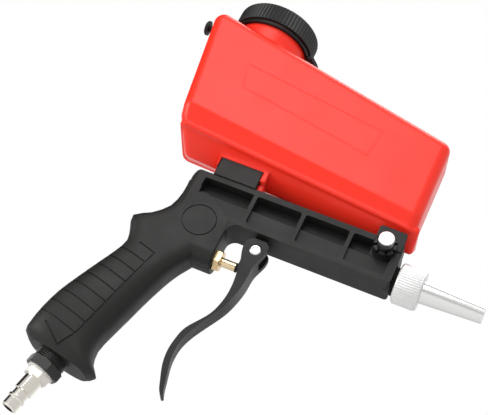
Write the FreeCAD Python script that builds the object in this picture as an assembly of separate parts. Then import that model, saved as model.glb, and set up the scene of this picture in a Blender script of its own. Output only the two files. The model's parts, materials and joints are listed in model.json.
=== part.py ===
# Hand-held gravity-feed media blaster gun: moulded body with grip and lever
# trigger, wedge hopper with screw cap on top, cross-pin media shut-off,
# push-stem air valve, quick-connect air inlet, tapered blast nozzle held by a
# knurled collar.  All sizes in millimetres.
# Working datum: X forward along the jet, Z up, Y across the gun; the jet runs
# at height Z_JET.  Every part is shifted at the end so that the centre of the
# nozzle outlet is the origin.
import FreeCAD, Part
import math, os
V = FreeCAD.Vector
os.makedirs("parts", exist_ok=True)

# ---------------------------------------------------------------- dimensions
Z_JET = -10.7            # height of the jet line
X_TIP = 154.5            # nozzle outlet face
SHIFT = V(-X_TIP, 0.0, -Z_JET)

# rail (I-section moulding above and in front of the grip)
RAIL_X0, RAIL_X1 = -35.5, 99.0
RAIL_HW = 11.0           # half width
RAIL_TOP, RAIL_BOT = 8.2, -18.5
FLANGE_T, FLANGE_B = 3.8, 3.4
WEB = 2.5                # half thickness of the web
RIBS = [(4.8, 7.3), (35.8, 38.3), (66.0, 68.5)]
CHAN_HW, CHAN_TOP = 8.3, -4.2   # moulded channel that carries the air line
# front ears and spigot
EAR_X0, EAR_X1, EAR_TOP, EAR_HW = 81.0, 98.0, 15.2, 12.0
SPIG_R, SPIG_X1 = 8.5, 106.5
# media shut-off
PIN_X, PIN_Z = 88.4, 2.0
PIN_HEAD_R, PIN_R = 4.75, 4.0
PIN_Y0, PIN_Y1 = -22.3, 18.0
BUSH_R, BUSH_Y = 7.2, 15.5
MEDIA_R = 3.2
# trigger
PIV_X, PIV_Z, PIV_R = 19.7, -28.2, 2.2
# air valve
VAL_Z, VAL_R, STEM_R = -39.4, 5.0, 2.75
STEM_TIP = 14.0
# hopper
H_TOP = [(-63.0, 114.0), (97.0, 84.0)]
H_FRONT = 101.4
WALL = 2.0
NECK_X, NECK_R, NECK_TOP = -32.5, 24.0, 129.4
CAP_R, CAP_Z0, CAP_Z1 = 27.3, 118.9, 132.2
# air inlet line (tilted with the grip)
IN_P = V(-60.0, 0.0, -141.0)
IN_D = V(-0.226, 0.0, -0.974)
IN_D.normalize()


# ------------------------------------------------------------------- helpers
def box(x0, x1, y0, y1, z0, z1):
    return Part.makeBox(x1 - x0, y1 - y0, z1 - z0, V(x0, y0, z0))


def cyl(p, d, r, h):
    return Part.makeCylinder(r, h, p, d)


def turned(prof, p, d):
    """Solid of revolution: prof is a closed list of (distance, radius)."""
    pts = [V(a, r, 0) for a, r in prof]
    pts.append(pts[0])
    f = Part.Face(Part.makePolygon(pts))
    s = f.revolve(V(0, 0, 0), V(1, 0, 0), 360)
    s = Part.Solid(s.Shells[0]) if not s.Solids else s.Solids[0]
    rot = FreeCAD.Rotation(V(1, 0, 0), d)
    s.Placement = FreeCAD.Placement(p, rot)
    return s


def ring(p, d, r0, r1, h):
    return cyl(p, d, r1, h).cut(cyl(p - d * 1.0, d, r0, h + 2.0))


def hexagon(p, d, af, h):
    pts = []
    for i in range(7):
        a = math.radians(60 * i + 30)
        pts.append(V(0, af / math.sqrt(3) * math.cos(a), af / math.sqrt(3) * math.sin(a)))
    s = Part.Face(Part.makePolygon(pts)).extrude(V(h, 0, 0))
    s.Placement = FreeCAD.Placement(p, FreeCAD.Rotation(V(1, 0, 0), d))
    return s


def star(p, d, r0, r1, n, h):
    """Finely ribbed prism."""
    pts = []
    for i in range(2 * n):
        a = math.pi * i / n
        r = r1 if i % 2 == 0 else r0
        pts.append(V(0, r * math.cos(a), r * math.sin(a)))
    pts.append(pts[0])
    s = Part.Face(Part.makePolygon(pts)).extrude(V(h, 0, 0))
    s.Placement = FreeCAD.Placement(p, FreeCAD.Rotation(V(1, 0, 0), d))
    return s


def xz_prism(pts, y0, y1):
    w = [V(x, y0, z) for x, z in pts]
    w.append(w[0])
    return Part.Face(Part.makePolygon(w)).extrude(V(0, y1 - y0, 0))


def fuse(items):
    s = items[0]
    if len(items) > 1:
        s = s.multiFuse(items[1:])
    return s


def solid(s):
    s = s.removeSplitter()
    sol = sorted(s.Solids, key=lambda q: -q.Volume)
    return sol[0]


def fillet(s, edges, radii):
    """Rounds the edges at the largest of the given radii that works."""
    for r in radii:
        try:
            t = s.makeFillet(r, edges)
            if t.isValid() and t.Volume > 0 and len(t.Solids) == 1:
                return t.Solids[0]
        except Exception:
            pass
    return s


PARTS = {}
X = V(1, 0, 0)
Y = V(0, 1, 0)
Z = V(0, 0, 1)


# -------------------------------------------------------------------- hopper
def hopper_w(x):
    return 28.0 - (x + 64.0) * (11.0 / 161.0)


def lin(x, xa, za, xb, zb):
    return za + (zb - za) * (x - xa) / (xb - xa)


def hopper_body(t, round_big, round_small):
    """Wedge body, all faces moved inwards by t."""
    def section(x):
        w = hopper_w(x) - t
        top = lin(x, H_TOP[0][0], H_TOP[0][1], H_TOP[1][0], H_TOP[1][1]) - t
        f1 = lin(x, -58.0, 41.0, 97.0, 27.0) + 0.3 * t
        w2 = lin(x, -54.0, 21.0, 97.0, 13.0) - 0.8 * t
        f2 = lin(x, -54.0, 29.4, 97.0, 18.3) + 0.75 * t
        k = lin(x, -46.5, 19.5, 97.0, 8.4) + 1.15 * t
        yz = [(-w, top), (-w, f1), (-w2, f2), (0, k), (w2, f2), (w, f1), (w, top)]
        p = [V(x, y, z) for y, z in yz]
        p.append(p[0])
        return Part.makePolygon(p)
    s = Part.makeLoft([section(-85.0), section(H_FRONT - t)], True, True)
    # leaning rear face and the steeper face below it
    c1 = xz_prism([(-72.3 + t, 140.0), (-57.1 + t, 34.5), (-47.5 + t * 1.4, 18.3),
                   (-37.2 + t * 1.4, 0.9), (-120.0, 0.9), (-120.0, 140.0)], -60.0, 60.0)
    s = s.cut(c1)
    s = solid(s)
    big = []
    small = []
    for e in s.Edges:
        b = e.BoundBox
        c = e.CenterOfMass
        along_x = b.XLength > 100.0
        if along_x:
            if c.z > 60.0:
                big.append(e)
            elif abs(c.y) > 5.0 and c.z > 30.0:
                small.append(e)
            elif abs(c.y) > 5.0:
                small.append(e)
        elif c.x > 90.0:
            (big if c.z > 26.0 else small).append(e)
        else:
            (big if c.z > 39.0 else small).append(e)
    s2 = fillet(s, big + small, [round_small, round_small - 1.0, round_small - 2.0])
    if s2.isSame(s) or len(s2.Faces) == len(s.Faces):
        s2 = fillet(s, big, [round_big, round_small, 2.0])
    return s2


hop_out = hopper_body(0.0, 6.5, 6.5)
hop_in = hopper_body(WALL, 4.5, 4.5)
print("hopper faces", len(hop_out.Faces), len(hop_in.Faces), hop_out.isValid(), hop_in.isValid())
neck = cyl(V(NECK_X, 0, 100.0), Z, NECK_R, NECK_TOP - 100.0)
thread = [turned([(-0.9, NECK_R - 0.5), (0.9, NECK_R - 0.5), (0.35, NECK_R + 0.9), (-0.35, NECK_R + 0.9)],
                 V(NECK_X, 0, z), Z) for z in (121.6, 124.6, 127.6)]
spout = cyl(V(PIN_X, 0, 8.25), Z, 6.0, 6.0)
# moulded bead that runs right round the hopper along the lower fold
bead = hopper_body(-1.15, 6.5, 6.5).common(xz_prism(
    [(-80.0, 29.4 + 1.91 + 1.2), (120.0, 29.4 - 12.79 + 1.2), (120.0, 29.4 - 12.79 - 1.2), (-80.0, 29.4 + 1.91 - 1.2)],
    -40.0, 40.0))
ed = [e for e in bead.Edges if e.Length > 12.0 and e.BoundBox.ZLength < 0.35 * max(e.BoundBox.XLength, e.BoundBox.YLength) + 0.1]
bead = fillet(solid(bead), ed, [0.9, 0.7, 0.5]).cut(hop_in)
print("bead", bead.isValid(), bead.Volume, len(bead.Solids))
# rim moulded around the clip block under the rear of the hopper
rim = box(-24.5, 7.4, -12.4, 12.4, 14.0, 23.0).fuse(box(4.15, 7.4, -9.0, 9.0, 8.8, 23.0)).cut(hop_in)
nose = Part.Face(Part.makePolygon([V(93.0, y, z) for y, z in [(-12.2, 18.6), (0, 9.3), (12.2, 18.6), (12.2, 22.0), (-12.2, 22.0),
                                                            (-12.2, 18.6)]])).extrude(V(10.1, 0, 0))
ed = [e for e in nose.Edges if e.CenterOfMass.x > 102.9 or (e.BoundBox.XLength > 5 and e.CenterOfMass.z < 20)]
nose = fillet(nose, ed, [2.2, 1.5])
print("nose", nose.isValid(), nose.Volume)
shell = hop_out.fuse(bead).fuse(rim).fuse(nose)
shell = shell.multiFuse([neck, spout] + thread)
shell = shell.cut(box(-23.7, 4.15, -12.6, 12.6, 0.0, 20.62).cut(hop_out))
shell = shell.cut(hop_in)
shell = shell.cut(cyl(V(NECK_X, 0, 98.0), Z, NECK_R - 2.2, 40.0))
shell = shell.cut(cyl(V(PIN_X, 0, 5.0), Z, MEDIA_R + 0.8, 14.0))
# shallow outline of the plain label field on each flank
for sg in (-1, 1):
    def flank(x, z, out):
        return V(x, sg * (hopper_w(x) + out), z)
    field = [(-33.0, 82.0), (-29.5, 64.0), (58.0, 51.5), (61.0, 72.0)]
    inner = [(-31.9, 81.1), (-28.7, 64.8), (57.2, 52.5), (59.9, 71.2)]
    o = Part.makePolygon([flank(x, z, -0.13) for x, z in field + field[:1]])
    i = Part.makePolygon([flank(x, z, -0.13) for x, z in inner + inner[:1]])
    fo = Part.Face(o).extrude(V(0, sg * 3.0, 0))
    fi = Part.Face(i).extrude(V(0, sg * 3.0, 0))
    shell = shell.cut(fo.cut(fi))
PARTS["hopper_shell"] = solid(shell)
PARTS["outlet_gasket"] = ring(V(PIN_X, 0, 7.36), Z, MEDIA_R + 0.3, 6.4, 0.84)

# screw cap: ribbed skirt, flat lid, liner disc inside
cap = star(V(NECK_X, 0, CAP_Z0), Z, CAP_R - 0.55, CAP_R, 72, CAP_Z1 - CAP_Z0)
cap = cap.common(turned([(0, 0), (0, CAP_R - 0.5), (0.6, CAP_R + 0.2), (CAP_Z1 - CAP_Z0 - 1.8, CAP_R + 0.2),
                         (CAP_Z1 - CAP_Z0 - 0.5, CAP_R - 0.9), (CAP_Z1 - CAP_Z0, CAP_R - 2.4),
                         (CAP_Z1 - CAP_Z0, 0)], V(NECK_X, 0, CAP_Z0), Z))
cap = cap.cut(cyl(V(NECK_X, 0, CAP_Z0 - 1), Z, NECK_R + 1.0, 130.5 - CAP_Z0 + 1))
PARTS["filler_cap"] = solid(cap)
PARTS["cap_liner"] = cyl(V(NECK_X, 0, NECK_TOP + 0.02), Z, NECK_R + 0.8, 1.06)

# tether: ring under the cap, tongue bending down at the front, stud in the lid
z_r = CAP_Z0 - 3.0
teth = ring(V(NECK_X, 0, z_r), Z, NECK_R + 0.1, NECK_R + 2.1, 2.0)
teth = teth.fuse(xz_prism([(-7.6, z_r), (-7.6, z_r + 2.0), (-3.0, z_r + 1.6), (1.2, z_r - 2.6),
                           (7.4, 104.2), (12.4, 103.2), (12.4, 101.9), (6.4, 103.0),
                           (-0.6, z_r - 3.4), (-3.8, z_r - 0.3)], -5.0, 5.0))
stud_x = 9.6
stud_z = lin(stud_x, H_TOP[0][0], H_TOP[0][1], H_TOP[1][0], H_TOP[1][1])
teth = teth.cut(cyl(V(stud_x, 0, stud_z - 6), Z, 2.0, 14.0))
teth = teth.cut(hop_out.fuse(neck)).cut(cyl(V(stud_x, 0, 104.3), Z, 3.5, 10.0))
PARTS["cap_tether"] = solid(teth)
stud = cyl(V(stud_x, 0, stud_z - 1.6), Z, 1.95, 6.0).fuse(cyl(V(stud_x, 0, stud_z + 4.0 - 1.0), Z, 3.4, 1.3))
stud = cyl(V(stud_x, 0, 100.3), Z, 1.9, 4.2).fuse(cyl(V(stud_x, 0, 104.35), Z, 3.4, 1.4))
PARTS["tether_stud"] = solid(stud.cut(hop_out.common(box(stud_x - 6, stud_x + 6, -6, 6, 90, 106))))

# mushroom stud on the rear face for the free end of the strap
PARTS["hanger_stud"] = solid(turned([(-6.0, 0), (-6.0, 2.2), (3.9, 2.2), (3.9, 4.8), (5.4, 4.8), (6.2, 3.9), (6.2, 0)],
                                    V(-68.2, -10.0, 108.6), X * -1).cut(hop_out))

# --------------------------------------------------------------- body: grip
def grip_section(rear, front, hw, n=2.7):
    m = V((rear[0] + front[0]) / 2, 0, (rear[1] + front[1]) / 2)
    u = V(front[0] - rear[0], 0, front[1] - rear[1])
    a = u.Length / 2
    u.normalize()
    pts = []
    for i in range(28):
        t = 2 * math.pi * i / 28
        c, s = math.cos(t), math.sin(t)
        cu = math.copysign(abs(c) ** (2 / n), c) * a
        cv = math.copysign(abs(s) ** (2 / n), s) * hw
        pts.append(m + u * cu + V(0, cv, 0))
    b = Part.BSplineCurve()
    b.interpolate(pts, PeriodicFlag=True)
    return Part.Wire([b.toShape()])


GRIP = [  # rear point, front point, half width, squareness
    ((-36.5, 0.6), (-2.0, -11.0), 11.1, 4.5),
    ((-36.5, -8.7), (-2.4, -19.5), 11.2, 4.5),
    ((-39.2, -20.2), (-5.5, -30.0), 11.3, 4.5),
    ((-47.7, -29.3), (-8.5, -38.5), 11.7, 4.4),
    ((-56.8, -34.9), (-12.2, -46.3), 12.4, 4.0),
    ((-54.6, -43.3), (-16.5, -53.0), 13.1, 3.6),
    ((-52.5, -51.7), (-20.1, -60.1), 13.8, 3.2),
    ((-55.8, -60.9), (-23.5, -69.2), 14.5, 2.9),
    ((-61.5, -71.9), (-27.1, -80.2), 15.2, 2.7),
    ((-67.8, -84.7), (-31.0, -93.1), 15.7, 2.7),
    ((-73.7, -97.5), (-34.9, -105.6), 15.8, 2.7),
    ((-77.6, -110.4), (-37.9, -117.7), 15.6, 2.7),
    ((-79.4, -120.3), (-36.0, -127.5), 15.0, 2.7),
    ((-79.5, -125.6), (-31.4, -133.4), 13.8, 2.7),
    ((-74.1, -130.2), (-36.0, -136.9), 11.6, 2.7),
]


def smooth_rows(rows, sub):
    """Cubic (Catmull-Rom) refinement of the station table."""
    out = []
    flat = [(r[0], r[1], f[0], f[1], hw, n) for r, f, hw, n in rows]
    for i in range(len(flat) - 1):
        p0 = flat[max(i - 1, 0)]
        p1, p2 = flat[i], flat[i + 1]
        p3 = flat[min(i + 2, len(flat) - 1)]
        for k in range(sub):
            t = k / sub
            out.append(tuple(0.5 * (2 * b + (c - a) * t + (2 * a - 5 * b + 4 * c - d) * t * t
                                    + (3 * b - a - 3 * c + d) * t ** 3)
                             for a, b, c, d in zip(p0, p1, p2, p3)))
    out.append(flat[-1])
    return [((q[0], q[1]), (q[2], q[3]), q[4], q[5]) for q in out]


def grip_solid(t):
    ws = []
    for r, f, hw, n in smooth_rows(GRIP, 2):
        u = V(f[0] - r[0], 0, f[1] - r[1])
        u.normalize()
        ws.append(grip_section((r[0] + u.x * t, r[1] + u.z * t), (f[0] - u.x * t, f[1] - u.z * t), hw - t, n))
    return Part.makeLoft(ws, True, True)


grip = grip_solid(0.0)
grip_core = grip_solid(0.7)
print("grip", grip.isValid(), grip.Volume, grip_core.isValid())

# grooves on both sides: a ladder of short lines over the rear of the grip
gtools = []
ax = V(-0.27, 0, -0.963)
ax.normalize()
px = V(0.963, 0, -0.27)
px.normalize()
g0 = V(-31.4, 0, -56.3)


def groove(a, b, half):
    d = V(b.x - a.x, 0, b.z - a.z)
    d.normalize()
    h = V(-d.z, 0, d.x) * half
    w = [a - h, b - h, b + h, a + h]
    w = [V(q.x, -20, q.z) for q in w]
    w.append(w[0])
    return Part.Face(Part.makePolygon(w)).extrude(V(0, 40, 0))


PITCH = 8.3
for k in range(9):
    c = g0 + ax * (PITCH * k)
    gtools.append(groove(c - px * (11.4 if k == 0 else 45.0), c + px * 0.4, 0.5))
c_end = g0 + ax * (PITCH * 8)
v_end = c_end + ax * 11.0 - px * 3.2
gtools.append(groove(g0 - ax * 0.4, c_end, 0.5))
gtools.append(groove(c_end, v_end, 0.5))
gtools.append(groove(v_end - px * 15.0 - ax * 6.4, v_end, 0.5))
disc = ring(V(-18.0, -20.0, -24.4), Y, 9.9, 10.5, 40.0)
gtools.append(disc)
grooves = [g.cut(grip_core) for g in gtools]

# --------------------------------------------------------------- body: rail
rail = box(RAIL_X0, RAIL_X1, -RAIL_HW, RAIL_HW, RAIL_BOT, RAIL_TOP)
ed = [e for e in rail.Edges if abs(e.CenterOfMass.x - RAIL_X0) < 0.1 and e.BoundBox.YLength > 5 and e.CenterOfMass.z > 0]
rail = fillet(rail, ed, [5.0])
ed = [e for e in rail.Edges if abs(e.CenterOfMass.x - RAIL_X1) < 0.1 and e.BoundBox.YLength > 5]
rail = fillet(rail, ed, [2.0])
for sg in (-1, 1):
    wedge = Part.Face(Part.makePolygon([V(-36.0, sg * 12.0, -30.0), V(-36.0, sg * 6.5, -30.0), V(-33.6, sg * 9.8, -30.0),
                                        V(-30.5, sg * 12.0, -30.0), V(-36.0, sg * 12.0, -30.0)])).extrude(V(0, 0, 42.0))
    rail = rail.cut(wedge)
pockets = []
xs = [-27.0] + [v for r in RIBS for v in r] + [93.8]
for i in range(0, len(xs), 2):
    for sg in (-1, 1):
        y0, y1 = sorted((sg * WEB, sg * 30.0))
        p = box(xs[i], xs[i + 1], y0, y1, RAIL_BOT + FLANGE_B, RAIL_TOP - FLANGE_T)
        e4 = [e for e in p.Edges if e.BoundBox.YLength > 5]
        pockets.append(fillet(p, e4, [1.6]))
rail = rail.cut(fuse([pockets[0]] + pockets[1:]) if len(pockets) > 1 else pockets[0])
tube = box(-20.0, RAIL_X1 - 1.0, -CHAN_HW, CHAN_HW, RAIL_BOT + 1.0, CHAN_TOP)
ed = [e for e in tube.Edges if e.BoundBox.XLength > 50 and e.CenterOfMass.z > CHAN_TOP - 0.1]
tube = fillet(tube, ed, [1.2, 0.8])
spigot = cyl(V(96.0, 0, Z_JET), X, SPIG_R, SPIG_X1 - 96.0)
face = box(96.0, 99.0, -9.0, 9.0, RAIL_BOT + 0.6, -1.0)

# ears either side of the hopper outlet
ears = []
for sg in (-1, 1):
    y0, y1 = sorted((sg * 7.0, sg * EAR_HW))
    e = box(EAR_X0, EAR_X1, y0, y1, RAIL_TOP - 6.0, EAR_TOP)
    ee = [q for q in e.Edges if q.BoundBox.YLength > 2 and q.CenterOfMass.z > EAR_TOP - 0.1]
    ears.append(fillet(e, ee, [1.6, 1.0]))
boss = cyl(V(PIN_X, -11.0, PIN_Z), Y, BUSH_R, 22.0)
media_well = box(PIN_X - 7.5, PIN_X + 7.5, -7.5, 7.5, -12.0, RAIL_TOP - 0.5)

# air valve housing in front of the grip and lug for the trigger
valve = box(-26.0, -1.0, -11.2, 11.2, -47.4, -17.0)
ed = [e for e in valve.Edges if e.BoundBox.XLength > 5 and e.CenterOfMass.z < -40]
valve = fillet(valve, ed, [8.0, 6.0])
ed = [e for e in valve.Edges if abs(e.CenterOfMass.x + 1.0) < 0.6 and e.BoundBox.XLength < 0.1 and e.CenterOfMass.z < -22]
valve = fillet(valve, ed, [1.2, 0.8])
corner = box(-1.6, 5.0, -10.9, 10.9, -24.6, -17.6).cut(cyl(V(5.0, -12.0, -24.6), Y, 6.1, 24.0))
plate = xz_prism([(-28.0, -7.6), (-24.0, -8.4), (-12.0, -11.0), (-8.5, -12.9), (-6.3, -14.9), (-2.0, -15.9),
                  (-2.0, -20.0), (-28.0, -20.0)], -10.95, 10.95)
vboss = cyl(V(-12.0, 0, VAL_Z), X, 8.2, 11.0)
lug = box(PIV_X - 4.2, PIV_X + 4.2, -4.4, 4.4, PIV_Z, RAIL_BOT + 1.5).fuse(
    cyl(V(PIV_X, -4.4, PIV_Z), Y, 4.2, 8.8))

body = grip
for piece in [rail, tube, spigot, face, boss, media_well, valve, corner, plate, vboss, lug] + ears:
    body = body.fuse(piece)
print("body before cuts", body.Volume, len(body.Solids))
cuts = list(grooves)
edge_line = [(-16.0, -7.9), (-11.8, -10.7), (-8.7, -12.7), (-6.6, -14.3), (-4.6, -15.0), (-2.0, -15.1)]
for sg in (-1, 1):
    y0, y1 = sorted((sg * WEB, sg * 30.0))
    cuts.append(xz_prism([(-26.4, 4.4), (-26.4, CHAN_TOP), (4.8, CHAN_TOP), (4.8, 4.4)], y0, y1))
    y0, y1 = sorted((sg * CHAN_HW, sg * 30.0))
    cuts.append(xz_prism([(-26.4, CHAN_TOP + 0.01), (-26.4, -6.6)] + edge_line + [(4.8, -15.1), (4.8, CHAN_TOP + 0.01)], y0, y1))
# hopper rests on the rail: clear its shape out of the ears
room = hop_out.copy()
room.translate(V(0, 0, -0.15))
cuts.append(room)
cuts.append(cyl(V(PIN_X, 0, 7.34), Z, 6.5, 20.0))               # gasket and spout seat
cuts.append(cyl(V(PIN_X, 0, Z_JET), Z, MEDIA_R + 0.3, 20.0))   # media drop
cuts.append(cyl(V(PIN_X, -30, PIN_Z), Y, PIN_R + 0.06, 60.0))  # pin bore
for sg in (-1, 1):
    d = Y * sg
    cuts.append(cyl(V(PIN_X, sg * 7.4, PIN_Z), d, 6.0, 10.0))  # bush seats
    cuts.append(cyl(V(PIN_X, sg * 5.55, PIN_Z), d, 5.3, 1.9))  # o-ring seats
    cuts.append(cyl(V(PIN_X, sg * 11.0, PIN_Z), d, 7.27, 4.0))  # bush flanges
# blast line
cuts.append(cyl(V(-14.0, 0, Z_JET), X, 3.0, 80.0))
cuts.append(cyl(V(58.0, 0, Z_JET), X, 5.0, 30.0))
cuts.append(cyl(V(74.0, 0, Z_JET), X, 6.0, 60.0))
# air valve chamber, link up to the blast line, supply up the grip
cuts.append(cyl(V(-34.0, 0, VAL_Z), X, VAL_R, 60.0 - 16.0))
cuts.append(cyl(V(-38.0, 0, VAL_Z), X, 3.0, 6.0))
cuts.append(cyl(V(-13.0, 0, VAL_Z), Z, 2.5, Z_JET - VAL_Z))
cuts.append(cyl(IN_P, IN_D * -1, 4.0, 105.0))
cuts.append(cyl(IN_P + IN_D * 10, IN_D * -1, 9.56, 10 + 24.4))  # bushing thread
# trigger pivot
cuts.append(cyl(V(PIV_X, -10, PIV_Z), Y, PIV_R + 0.05, 20.0))
for c in cuts:
    body = body.cut(c)
PARTS["gun_body"] = solid(body)
print("body", PARTS["gun_body"].isValid(), PARTS["gun_body"].Volume, len(PARTS["gun_body"].Faces))

# clip block that carries the rear of the hopper
sad = box(-23.5, 4.0, -12.0, 12.0, RAIL_TOP + 0.02, 20.5)
sad = sad.cut(room)
ed = [e for e in sad.Edges if e.BoundBox.ZLength > 8 and e.BoundBox.YLength < 0.1 and e.BoundBox.XLength < 0.1]
sad = fillet(sad, ed, [1.0])
PARTS["hopper_saddle"] = solid(sad)

# ---------------------------------------------------------- media shut-off
def pc(y):
    return V(PIN_X, y, PIN_Z)


pin = turned([(0, 0), (0, PIN_HEAD_R - 0.5), (0.5, PIN_HEAD_R), (5.3, PIN_HEAD_R), (5.3, PIN_R),
              (PIN_Y1 - PIN_Y0 - 0.5, PIN_R), (PIN_Y1 - PIN_Y0, PIN_R - 0.5), (PIN_Y1 - PIN_Y0, 0)],
             pc(PIN_Y0), Y)
pin = pin.cut(cyl(V(PIN_X, -6.0, PIN_Z - 8), Z, MEDIA_R - 0.2, 16.0))
pin = pin.cut(ring(pc(15.62), Y, 3.3, 6.0, 0.84))
PARTS["media_pin"] = solid(pin)
for nm, sg in (("near", -1), ("far", 1)):
    d = Y * sg
    b = turned([(7.5, PIN_R + 0.08), (7.5, 5.98), (11.02, 5.98), (11.02, BUSH_R), (BUSH_Y - 0.6, BUSH_R),
                (BUSH_Y, BUSH_R - 0.6), (BUSH_Y, PIN_HEAD_R + 0.2), (11.02, PIN_HEAD_R + 0.2),
                (11.02, PIN_R + 0.08)], pc(0), d)
    for k in range(8):
        a = math.radians(45 * k + 22.5)
        n = box(4.0, 9.0, 12.6, 17.0, -0.75, 0.75) if sg > 0 else box(4.0, 9.0, -17.0, -12.6, -0.75, 0.75)
        n.rotate(V(0, 0, 0), Y, math.degrees(a))
        n.translate(V(PIN_X, 0, PIN_Z))
        b = b.cut(n)
    PARTS["media_bush_" + nm] = solid(b)
    PARTS["pin_oring_" + nm] = Part.makeTorus(PIN_R + 0.68, 0.6, pc(sg * 6.5), Y)
PARTS["pin_clip"] = solid(ring(pc(15.64), Y, 3.32, 5.6, 0.8).cut(
    box(PIN_X - 2.2, PIN_X + 2.2, 15.0, 17.0, PIN_Z - 9.0, PIN_Z - 1.0)))

# ------------------------------------------------------------------ trigger
rear = [(12.6, -24.0), (12.3, -30.0), (13.6, -35.0), (14.35, -38.0), (14.35, -41.0), (15.3, -45.0), (16.1, -50.0),
        (16.4, -55.0), (16.2, -60.0), (15.5, -65.0), (14.2, -70.0), (12.2, -75.0), (9.7, -79.0), (4.8, -85.6),
        (2.5, -89.4), (0.9, -94.3), (0.0, -99.2), (-0.5, -104.0), (-0.3, -109.0), (0.5, -113.8), (2.0, -118.8),
        (3.7, -123.6), (5.4, -128.0), (6.8, -130.1)]
front = [(8.7, -129.9), (7.3, -126.0), (5.6, -118.7), (3.7, -110.0), (3.3, -104.0), (3.7, -98.4), (5.4, -92.0),
         (8.0, -86.0), (12.3, -77.9), (15.5, -72.0), (18.0, -66.8), (20.9, -57.3), (22.5, -47.0), (23.2, -37.5),
         (25.4, -31.0), (26.4, -27.0), (26.3, -23.6)]


def curve(pts):
    b = Part.BSplineCurve()
    b.interpolate([V(x, -12.0, z) for x, z in pts])
    return b.toShape()


top = [(26.3, -23.6), (24.0, -21.2), (15.4, -21.2), (12.6, -24.0)]
edges = [curve(rear), Part.makeLine(V(6.8, -12, -130.1), V(7.8, -12, -130.8)),
         Part.makeLine(V(7.8, -12, -130.8), V(8.7, -12, -129.9)), curve(front)]
for a, b in zip(top[:-1], top[1:]):
    edges.append(Part.makeLine(V(a[0], -12, a[1]), V(b[0], -12, b[1])))
lever = Part.Face(Part.Wire(edges)).extrude(V(0, 24.0, 0))
side = [(10.0, -10.0), (8.4, -22.0), (8.4, -40.0), (7.0, -60.0), (6.0, -79.0), (5.2, -95.0), (4.6, -112.0), (3.8, -134.0)]
yzp = [V(-12, h, z) for h, z in side] + [V(-12, -h, z) for h, z in side[::-1]]
yzp.append(yzp[0])
lever = lever.common(Part.Face(Part.makePolygon(yzp)).extrude(V(60, 0, 0)))
lever = solid(lever)
# shallow channel up the back of the lever
lever = lever.cut(box(5.0, 40.0, -4.6, 4.6, -34.2, -15.0))
lever = lever.cut(cyl(V(PIV_X, -12, PIV_Z), Y, PIV_R + 0.06, 24.0))
lever = lever.cut(cyl(V(PIV_X, 8.45 - 0.9, PIV_Z), Y, 3.6, 6.0)).cut(cyl(V(PIV_X, -8.45 + 0.9, PIV_Z), Y * -1, 3.6, 6.0))
PARTS["trigger_lever"] = solid(lever)
PARTS["trigger_pin"] = turned([(-8.6, 0), (-8.6, 0.8), (-8.2, 1.1), (-8.2, 1.7), (-8.9, 2.1), (-8.9, 2.7), (-8.3, 3.4), (-7.6, 3.4), (-7.6, PIV_R), (8.6, PIV_R), (9.0, PIV_R - 0.4),
                               (9.0, 1.0), (8.2, 1.0), (8.2, 0)], V(PIV_X, 0, PIV_Z), Y)
PARTS["trigger_pin_washer"] = ring(V(PIV_X, 7.6, PIV_Z), Y, PIV_R + 0.02, 3.5, 0.7)

# ---------------------------------------------------------------- air valve
def vc(x):
    return V(x, 0, VAL_Z)


PARTS["valve_seat"] = ring(vc(-18.0), X, 3.4, VAL_R - 0.02, 2.0)
nut = fuse([hexagon(vc(-1.0), X, 11.6, 4.0), cyl(vc(-10.0), X, VAL_R - 0.03, 9.2)])
nut = nut.common(turned([(-10.0, 0), (-10.0, 4.6), (-9.6, VAL_R), (-1.0, VAL_R), (-1.0, 6.8), (2.4, 6.8), (3.0, 5.9), (3.0, 0)],
                        vc(0), X))
nut = nut.cut(cyl(vc(-12.0), X, STEM_R + 0.06, 20.0)).cut(cyl(vc(-8.6), X, 4.05, 1.9))
PARTS["gland_nut"] = solid(nut)
PARTS["gland_oring"] = Part.makeTorus(STEM_R + 0.66, 0.6, vc(-7.65), X)
stem = turned([(-18.02, 0), (-18.02, 1.8), (-11.5, 1.8), (-11.0, STEM_R), (12.1, STEM_R), (12.1, STEM_R - 0.7), (13.2, STEM_R - 0.7),
               (13.2, STEM_R - 0.2), (STEM_TIP, STEM_R - 0.9), (STEM_TIP, 0)], vc(0), X)
PARTS["valve_stem"] = stem
PARTS["stem_ring"] = ring(vc(12.15), X, STEM_R - 0.65, STEM_R + 0.15, 1.0)
PARTS["valve_poppet"] = turned([(-22.4, 0), (-22.4, 2.6), (-20.6, 2.6), (-20.6, 4.3), (-18.06, 4.3), (-18.06, 0)], vc(0), X)
hx = Part.makeHelix(2.1, 12.4, 3.45)
prof = Part.Wire([Part.makeCircle(0.38, V(3.45, 0, 0), V(0, 1, 0.1))])
spr = Part.Wire(hx.Edges).makePipeShell([prof], True, True)
spr.Placement = FreeCAD.Placement(vc(-33.5), FreeCAD.Rotation(V(0, 0, 1), X))
PARTS["valve_spring"] = spr.Solids[0] if spr.Solids else Part.Solid(spr.Shells[0])

# ---------------------------------------------------------------- air inlet
def ip(s):
    return IN_P + IN_D * s


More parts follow.
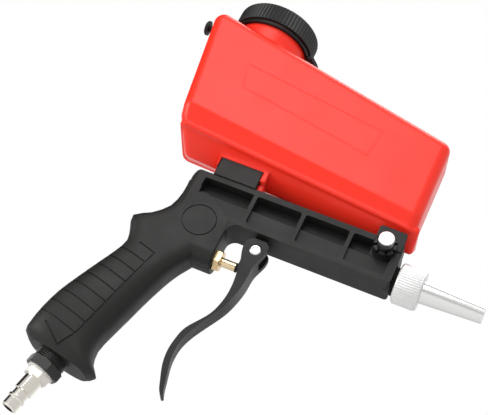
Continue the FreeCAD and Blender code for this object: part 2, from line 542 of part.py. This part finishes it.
ridges = []
for k in range(6):
    ridges += [(-10.2 + 1.2 * k, 9.5), (-9.9 + 1.2 * k, 9.5), (-9.5 + 1.2 * k, 8.9), (-9.3 + 1.2 * k, 8.9)]
bush = fuse([turned([(-24.0, 0), (-24.0, 8.9), (-23.4, 9.5)] + ridges + [(-2.4, 9.2), (-2.4, 0)], IN_P, IN_D),
             hexagon(ip(-2.8), IN_D, 19.4, 5.5).common(turned([(-2.8, 0), (-2.8, 10.4), (-2.2, 11.2), (1.9, 11.2),
                                                               (2.7, 10.2), (2.7, 0)], IN_P, IN_D))])
bush = bush.cut(cyl(ip(-30), IN_D, 4.0, 50.0)).cut(cyl(ip(-9.0), IN_D, 5.0, 20.0))
PARTS["inlet_bushing"] = solid(bush)
PARTS["inlet_washer"] = ring(ip(2.72), IN_D, 5.1, 8.4, 0.9)
plug = fuse([cyl(ip(-8.6), IN_D, 4.95, 14.0), hexagon(ip(3.64), IN_D, 13.6, 4.5),
             turned([(8.0, 0), (8.0, 5.55), (17.6, 5.55), (18.2, 4.55), (21.7, 4.55), (22.1, 5.35), (23.3, 5.35),
                     (23.9, 4.7), (28.8, 4.7), (29.7, 4.0), (29.7, 0)], IN_P, IN_D)])
plug = plug.common(turned([(-8.6, 0), (-8.6, 4.6), (-8.2, 4.95), (3.64, 4.95), (3.64, 7.3), (4.1, 7.85), (7.6, 7.85),
                           (8.14, 7.2), (8.14, 5.55), (30.0, 5.55), (30.0, 0)], IN_P, IN_D))
plug = plug.cut(cyl(ip(-12.0), IN_D, 3.0, 60.0))
PARTS["air_plug"] = solid(plug)

# -------------------------------------------------------------- blast line
def jc(x):
    return V(x, 0, Z_JET)


PARTS["air_jet"] = turned([(60.0, 1.2), (60.0, 4.6), (60.4, 4.98), (73.0, 4.98), (73.4, 4.6), (75.0, 2.6), (84.5, 2.2),
                           (84.5, 1.2)], jc(0), X)
PARTS["nozzle_seal"] = ring(jc(SPIG_X1 + 0.02), X, 6.1, 8.2, 1.6)
PARTS["nozzle"] = turned([(100.0, 3.8), (100.0, 5.4), (100.6, 5.92), (SPIG_X1 + 1.65, 5.92), (SPIG_X1 + 1.65, 8.2),
                          (115.2, 8.2), (115.2, 7.0), (118.0, 7.0), (X_TIP, 5.25), (X_TIP, 3.5), (104.0, 3.5)], jc(0), X)
col = star(jc(101.5), X, 12.0, 12.3, 60, 15.5)
col = col.common(turned([(101.5, 0), (101.5, 11.4), (102.3, 12.4), (116.0, 12.4), (117.0, 11.2), (117.0, 0)], jc(0), X))
col = col.cut(cyl(jc(101.0), X, SPIG_R + 0.08, 14.3)).cut(cyl(jc(110.0), X, 7.07, 10.0))
PARTS["nozzle_collar"] = solid(col)

# ------------------------------------------------------------------- output
for name in sorted(PARTS):
    s = PARTS[name]
    s = s.copy()
    s.translate(SHIFT)
    bb = s.BoundBox
    print("%-20s valid=%s solids=%d vol=%.0f  x %.1f..%.1f y %.1f..%.1f z %.1f..%.1f" % (
        name, s.isValid(), len(s.Solids), s.Volume, bb.XMin, bb.XMax, bb.YMin, bb.YMax, bb.ZMin, bb.ZMax))
    s.exportStep("parts/" + name + ".step")
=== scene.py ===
import bpy
import json
import math
from mathutils import Matrix, Vector


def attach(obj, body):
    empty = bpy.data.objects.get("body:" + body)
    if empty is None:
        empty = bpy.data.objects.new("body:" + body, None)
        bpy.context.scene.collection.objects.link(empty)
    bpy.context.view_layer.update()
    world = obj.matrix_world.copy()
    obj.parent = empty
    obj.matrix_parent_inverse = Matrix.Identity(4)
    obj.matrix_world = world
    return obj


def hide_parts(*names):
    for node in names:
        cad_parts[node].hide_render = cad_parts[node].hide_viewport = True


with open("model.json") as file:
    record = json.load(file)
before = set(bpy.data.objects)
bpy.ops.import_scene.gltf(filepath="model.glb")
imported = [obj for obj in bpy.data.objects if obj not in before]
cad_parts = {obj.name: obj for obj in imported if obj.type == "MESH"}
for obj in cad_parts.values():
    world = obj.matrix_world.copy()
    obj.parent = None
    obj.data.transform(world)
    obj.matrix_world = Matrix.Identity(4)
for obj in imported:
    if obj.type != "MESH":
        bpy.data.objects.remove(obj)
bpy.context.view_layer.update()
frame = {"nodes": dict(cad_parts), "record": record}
nodes = frame["nodes"]
MM = 0.001
OX, OZ = -154.5, 10.7          # working datum of the drawing to the row frame


def W(x, y, z):
    return Vector(((x + OX) * MM, y * MM, (z + OZ) * MM))


# ------------------------------------------------------------------ materials
def mat(name, color, rough=0.5, metal=0.0, spec=0.5, grain=0.0, grain_scale=2500.0, coat=0.0, sss=0.0, sss_col=None,
        mottled=0.0, brushed=0.0):
    m = bpy.data.materials.new(name)
    m.use_nodes = True
    nt = m.node_tree
    b = nt.nodes["Principled BSDF"]
    b.inputs["Base Color"].default_value = (*color, 1.0)
    b.inputs["Roughness"].default_value = rough
    b.inputs["Metallic"].default_value = metal
    b.inputs["Specular IOR Level"].default_value = spec
    if coat:
        b.inputs["Coat Weight"].default_value = coat
        b.inputs["Coat Roughness"].default_value = 0.25
    if sss:
        b.inputs["Subsurface Weight"].default_value = sss
        b.inputs["Subsurface Scale"].default_value = 0.004
        b.inputs["Subsurface Radius"].default_value = (1.0, 0.25, 0.12)
    tc = nt.nodes.new("ShaderNodeTexCoord")
    if grain:
        n = nt.nodes.new("ShaderNodeTexNoise")
        n.inputs["Scale"].default_value = grain_scale
        n.inputs["Detail"].default_value = 2.0
        bump = nt.nodes.new("ShaderNodeBump")
        bump.inputs["Strength"].default_value = grain
        bump.inputs["Distance"].default_value = 0.0002
        nt.links.new(tc.outputs["Object"], n.inputs["Vector"])
        nt.links.new(n.outputs["Fac"], bump.inputs["Height"])
        nt.links.new(bump.outputs["Normal"], b.inputs["Normal"])
    if mottled:
        n2 = nt.nodes.new("ShaderNodeTexNoise")
        n2.inputs["Scale"].default_value = 60.0
        n2.inputs["Detail"].default_value = 3.0
        mr = nt.nodes.new("ShaderNodeMapRange")
        mr.inputs["From Min"].default_value = 0.3
        mr.inputs["From Max"].default_value = 0.7
        mr.inputs["To Min"].default_value = max(0.02, rough - mottled)
        mr.inputs["To Max"].default_value = rough + mottled
        nt.links.new(tc.outputs["Object"], n2.inputs["Vector"])
        nt.links.new(n2.outputs["Fac"], mr.inputs["Value"])
        nt.links.new(mr.outputs["Result"], b.inputs["Roughness"])
    return m


M = {
    "black_body": mat("black_body", (0.0145, 0.0138, 0.0130), 0.50, grain=0.35, grain_scale=1800, spec=0.29, mottled=0.05),
    "black_lever": mat("black_lever", (0.0115, 0.0112, 0.0108), 0.46, grain=0.3, grain_scale=1800, spec=0.27, mottled=0.05),
    "black_bush": mat("black_bush", (0.0070, 0.0070, 0.0070), 0.34, spec=0.28, mottled=0.03),
    "black_cap": mat("black_cap", (0.0150, 0.0147, 0.0142), 0.42, grain=0.2, grain_scale=2200, spec=0.36, mottled=0.03),
    "black_strap": mat("black_strap", (0.0080, 0.0080, 0.0080), 0.50, spec=0.25, mottled=0.03),
    "red_hopper": mat("red_hopper", (0.95, 0.031, 0.014), 0.33, sss=0.05, spec=0.33, grain=0.05, grain_scale=700, mottled=0.03),
    "black_rubber": mat("black_rubber", (0.010, 0.010, 0.010), 0.65, spec=0.25, mottled=0.04),
    "white_liner": mat("white_liner", (0.78, 0.78, 0.76), 0.8, grain=0.2),
    "white_seat": mat("white_seat", (0.78, 0.76, 0.72), 0.5, mottled=0.03),
    "bright_pin": mat("bright_pin", (0.64, 0.63, 0.64), 0.30, metal=1.0, mottled=0.05),
    "spring_steel": mat("spring_steel", (0.60, 0.60, 0.62), 0.25, metal=1.0, mottled=0.04),
    "brass_nut": mat("brass_nut", (0.72, 0.53, 0.30), 0.24, metal=1.0, mottled=0.06),
    "brass_stem": mat("brass_stem", (0.80, 0.64, 0.40), 0.20, metal=1.0, mottled=0.05),
    "black_metal": mat("black_metal", (0.016, 0.016, 0.015), 0.32, spec=0.42, mottled=0.05),
    "nickel_plug": mat("nickel_plug", (0.86, 0.82, 0.75), 0.13, metal=1.0, mottled=0.04),
    "bright_nozzle": mat("bright_nozzle", (0.86, 0.86, 0.845), 0.16, metal=1.0, mottled=0.03),
    "alu_collar": mat("alu_collar", (0.80, 0.795, 0.79), 0.42, metal=0.7, spec=0.5, mottled=0.04),
}

hop_nt = M["red_hopper"].node_tree
soft = hop_nt.nodes.new("ShaderNodeBevel")
soft.samples = 8
soft.inputs["Radius"].default_value = 0.0026
for n in list(hop_nt.nodes):
    if n.bl_idname == "ShaderNodeBump":
        hop_nt.links.new(soft.outputs["Normal"], n.inputs["Normal"])

slot_of = {s["node"]: s["material_slot"] for s in frame["record"]["subparts"]}
BEVEL = {  # width mm, segments, angle limit
    "gun_body": (0.45, 2, 35), "hopper_saddle": (0.5, 2, 35), "hopper_shell": (0.5, 3, 28), "filler_cap": (0.12, 1, 20),
    "trigger_lever": (0.8, 3, 30), "media_bush_near": (0.25, 2, 35), "media_bush_far": (0.25, 2, 35),
    "media_pin": (0.2, 2, 35), "trigger_pin": (0.15, 2, 35), "cap_tether": (0.4, 2, 35), "gland_nut": (0.2, 2, 35),
    "inlet_bushing": (0.25, 2, 35), "air_plug": (0.2, 2, 35), "nozzle": (0.15, 2, 30), "valve_stem": (0.12, 2, 35),
    "hanger_stud": (0.4, 2, 35), "tether_stud": (0.4, 2, 35), "pin_clip": (0.1, 1, 35),
}
for name, o in nodes.items():
    o.data.materials.clear()
    o.data.materials.append(M[slot_of[name]])
    for p in o.data.polygons:
        p.material_index = 0
        p.use_smooth = True
    if "custom_normal" in o.data.attributes:
        o.data.attributes.remove(o.data.attributes["custom_normal"])
    w = o.modifiers.new("weld", "WELD")
    w.merge_threshold = 2e-6
    width, seg, ang = BEVEL.get(name, (0.1, 1, 35))
    b = o.modifiers.new("bevel", "BEVEL")
    b.width = width * MM
    b.segments = seg
    b.limit_method = "ANGLE"
    b.angle_limit = math.radians(ang)
    b.use_clamp_overlap = True
    b.harden_normals = True
    b.miter_outer = "MITER_ARC" if seg > 2 else "MITER_SHARP"
    wn = o.modifiers.new("normals", "WEIGHTED_NORMAL")
    wn.weight = 80
    wn.keep_sharp = True


# ------------------------------------------------------------------- helpers
def mesh_object(name, verts, faces, material, smooth=True):
    me = bpy.data.meshes.new(name)
    me.from_pydata([tuple(v) for v in verts], [], faces)
    me.validate()
    me.update()
    for p in me.polygons:
        p.use_smooth = smooth
    o = bpy.data.objects.new(name, me)
    bpy.context.scene.collection.objects.link(o)
    me.materials.append(material)
    return o


def frame_of(p, d):
    """Matrix that sends local +X to direction d, through p."""
    x = d.normalized()
    y = Vector((0, 1, 0))
    y = (y - x * y.dot(x)).normalized()
    z = x.cross(y)
    m = Matrix((x, y, z)).transposed().to_4x4()
    m.translation = p
    return m


def lathe(name, prof, p, d, material, n=96):
    """Closed ring-shaped solid: prof is a closed list of (mm along, mm radius)."""
    m = frame_of(p, d)
    vs, fs = [], []
    k = len(prof)
    for i in range(n):
        a = 2 * math.pi * i / n
        for s, r in prof:
            vs.append(m @ Vector((s * MM, r * MM * math.cos(a), r * MM * math.sin(a))))
    for i in range(n):
        j = (i + 1) % n
        for q in range(k):
            t = (q + 1) % k
            fs.append((i * k + q, i * k + t, j * k + t, j * k + q))
    o = mesh_object(name, vs, fs, material)
    return o


# --------------------------------------------------- knurled collar (replaced)
def knurled_collar():
    N, sub, x0, x1 = 50, 8, 101.5, 117.0
    prof = [(x0, 11.2, 0), (x0 + 0.45, 11.85, 0), (x0 + 0.9, 12.0, 0), (x0 + 1.25, 12.3, 1), (x1 - 1.75, 12.3, 1),
            (x1 - 1.4, 12.0, 0), (x1 - 1.1, 12.0, 0), (x1 - 0.45, 11.85, 0), (x1, 11.3, 0),
            (x1, 7.1, 0), (115.25, 7.1, 0), (115.25, 8.6, 0), (x0, 8.6, 0)]
    k = len(prof)
    vs, fs = [], []
    m = frame_of(W(0, 0, -10.7), Vector((1, 0, 0)))
    for i in range(N * sub):
        a = 2 * math.pi * i / (N * sub)
        f = (i % sub) / sub
        dip = 0.42 * (0.5 + 0.5 * math.cos(2 * math.pi * f)) ** 2
        for x, r, ribbed in prof:
            q = r - dip if ribbed else r
            vs.append(m @ Vector((x * MM, q * MM * math.cos(a), q * MM * math.sin(a))))
    n = N * sub
    for i in range(n):
        j = (i + 1) % n
        for q in range(k):
            t = (q + 1) % k
            fs.append((i * k + q, i * k + t, j * k + t, j * k + q))
    o = mesh_object("collar_knurled", vs, fs, M["alu_collar"])
    o.data.set_sharp_from_angle(angle=math.radians(40))
    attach(o, "collar")
    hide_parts("nozzle_collar")


knurled_collar()

# --------------------------------------------------------- visible threads
def thread_ring(name, s0, s1, r_in, r_mid, depth, pitch, p, d, material, body):
    prof = [(s0, r_in), (s0, r_mid - depth)]
    s = s0
    while s + pitch <= s1 + 1e-6:
        prof.append((s + pitch * 0.5, r_mid))
        prof.append((s + pitch, r_mid - depth))
        s += pitch
    prof.append((s, r_in))
    o = lathe(name, prof, p, d, material)
    o.data.set_sharp_from_angle(angle=math.radians(60))
    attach(o, body)
    return o


IN_D = Vector((-0.226, 0, -0.974)).normalized()
IN_P = W(-60.0, 0, -141.0)
thread_ring("spigot_thread", 99.05, 101.45, 8.3, 8.95, 0.45, 0.8, W(0, 0, -10.7), Vector((1, 0, 0)), M["black_body"], "gun")

# ------------------------------------------------------------------- staging
floor = mesh_object("floor", [(-6, -6, -0.46), (6, -6, -0.46), (6, 6, -0.46), (-6, 6, -0.46)], [(0, 1, 2, 3)],
                    mat("floor_pale", (0.78, 0.78, 0.78), 0.8), smooth=False)

world = bpy.data.worlds.new("studio")
bpy.context.scene.world = world
world.use_nodes = True
wt = world.node_tree
bg = wt.nodes["Background"]
bg.inputs["Strength"].default_value = 1.0
wco = wt.nodes.new("ShaderNodeTexCoord")


def toward(direction, stops):
    """Grey ramp over the cosine between the sky direction and the given one."""
    dot = wt.nodes.new("ShaderNodeVectorMath")
    dot.operation = "DOT_PRODUCT"
    dot.inputs[1].default_value = Vector(direction).normalized()
    wt.links.new(wco.outputs["Generated"], dot.inputs[0])
    half = wt.nodes.new("ShaderNodeMapRange")
    half.inputs["From Min"].default_value = -1.0
    half.inputs["From Max"].default_value = 1.0
    wt.links.new(dot.outputs["Value"], half.inputs["Value"])
    ramp = wt.nodes.new("ShaderNodeValToRGB")
    els = ramp.color_ramp.elements
    els[0].position, els[0].color = stops[0][0], (*[stops[0][1]] * 3, 1.0)
    els[1].position, els[1].color = stops[-1][0], (*[stops[-1][1]] * 3, 1.0)
    for pos, v in stops[1:-1]:
        e = els.new(pos)
        e.color = (v, v, v, 1.0)
    wt.links.new(half.outputs["Result"], ramp.inputs["Fac"])
    return ramp.outputs["Color"]


# a white backdrop behind the gun, a bright room in front, a dark corner up and to the rear
backdrop = toward((-0.208, 0.857, 0.471), [(0.0, 0.72), (0.45, 0.70), (0.70, 0.80), (0.86, 1.0), (1.0, 1.0)])
corner = toward((-0.66, 0.13, 0.60), [(0.0, 1.0), (0.90, 1.0), (0.93, 0.05), (1.0, 0.03)])
both = wt.nodes.new("ShaderNodeMix")
both.data_type = "RGBA"
both.blend_type = "MULTIPLY"
both.inputs[0].default_value = 1.0
wt.links.new(backdrop, both.inputs[6])
wt.links.new(corner, both.inputs[7])
wt.links.new(both.outputs[2], bg.inputs["Color"])


def area(name, loc, target, size, power, color=(1, 1, 1)):
    l = bpy.data.lights.new(name, "AREA")
    l.shape = "RECTANGLE"
    l.size, l.size_y = size
    l.energy = power
    l.color = color
    o = bpy.data.objects.new(name, l)
    bpy.context.scene.collection.objects.link(o)
    o.location = loc
    d = (Vector(target) - Vector(loc)).normalized()
    o.rotation_euler = d.to_track_quat("-Z", "Y").to_euler()
    return o


CEN = (-0.13, 0.0, 0.0)
area("key", (-0.40, -1.08, 0.62), CEN, (0.85, 0.75), 6.6)
area("top", (-0.1, 0.1, 1.3), CEN, (0.9, 0.7), 6.0)
area("fill", (-0.85, -0.34, -0.10), CEN, (0.35, 0.35), 2.2)

# -------------------------------------------------------------------- camera
th, ph = math.radians(31.0), math.radians(23.8)
e1 = Vector((math.cos(ph), 0, math.sin(ph)))
e2 = Vector((-math.sin(ph), 0, math.cos(ph)))
Nn = Vector((0, -1, 0))
back = (Nn * math.cos(th) - e2 * math.sin(th)).normalized()
up = (e2 * math.cos(th) + Nn * math.sin(th)).normalized()
right = e1
cam_data = bpy.data.cameras.new("camera")
cam_data.sensor_fit = "HORIZONTAL"
cam_data.sensor_width = 36.0
cam_data.lens = 36.0 * 1300.0 / 488.0
cam_data.clip_start = 0.01
cam_data.clip_end = 50
cam = bpy.data.objects.new("camera", cam_data)
bpy.context.scene.collection.objects.link(cam)
mw = Matrix((right, up, back)).transposed().to_4x4()
mw.translation = W(0, 0, 0) + back * 0.780
cam.matrix_world = mw
bpy.context.scene.camera = cam
bpy.context.scene.view_settings.view_transform = "Standard"
bpy.context.scene.view_settings.look = "None"
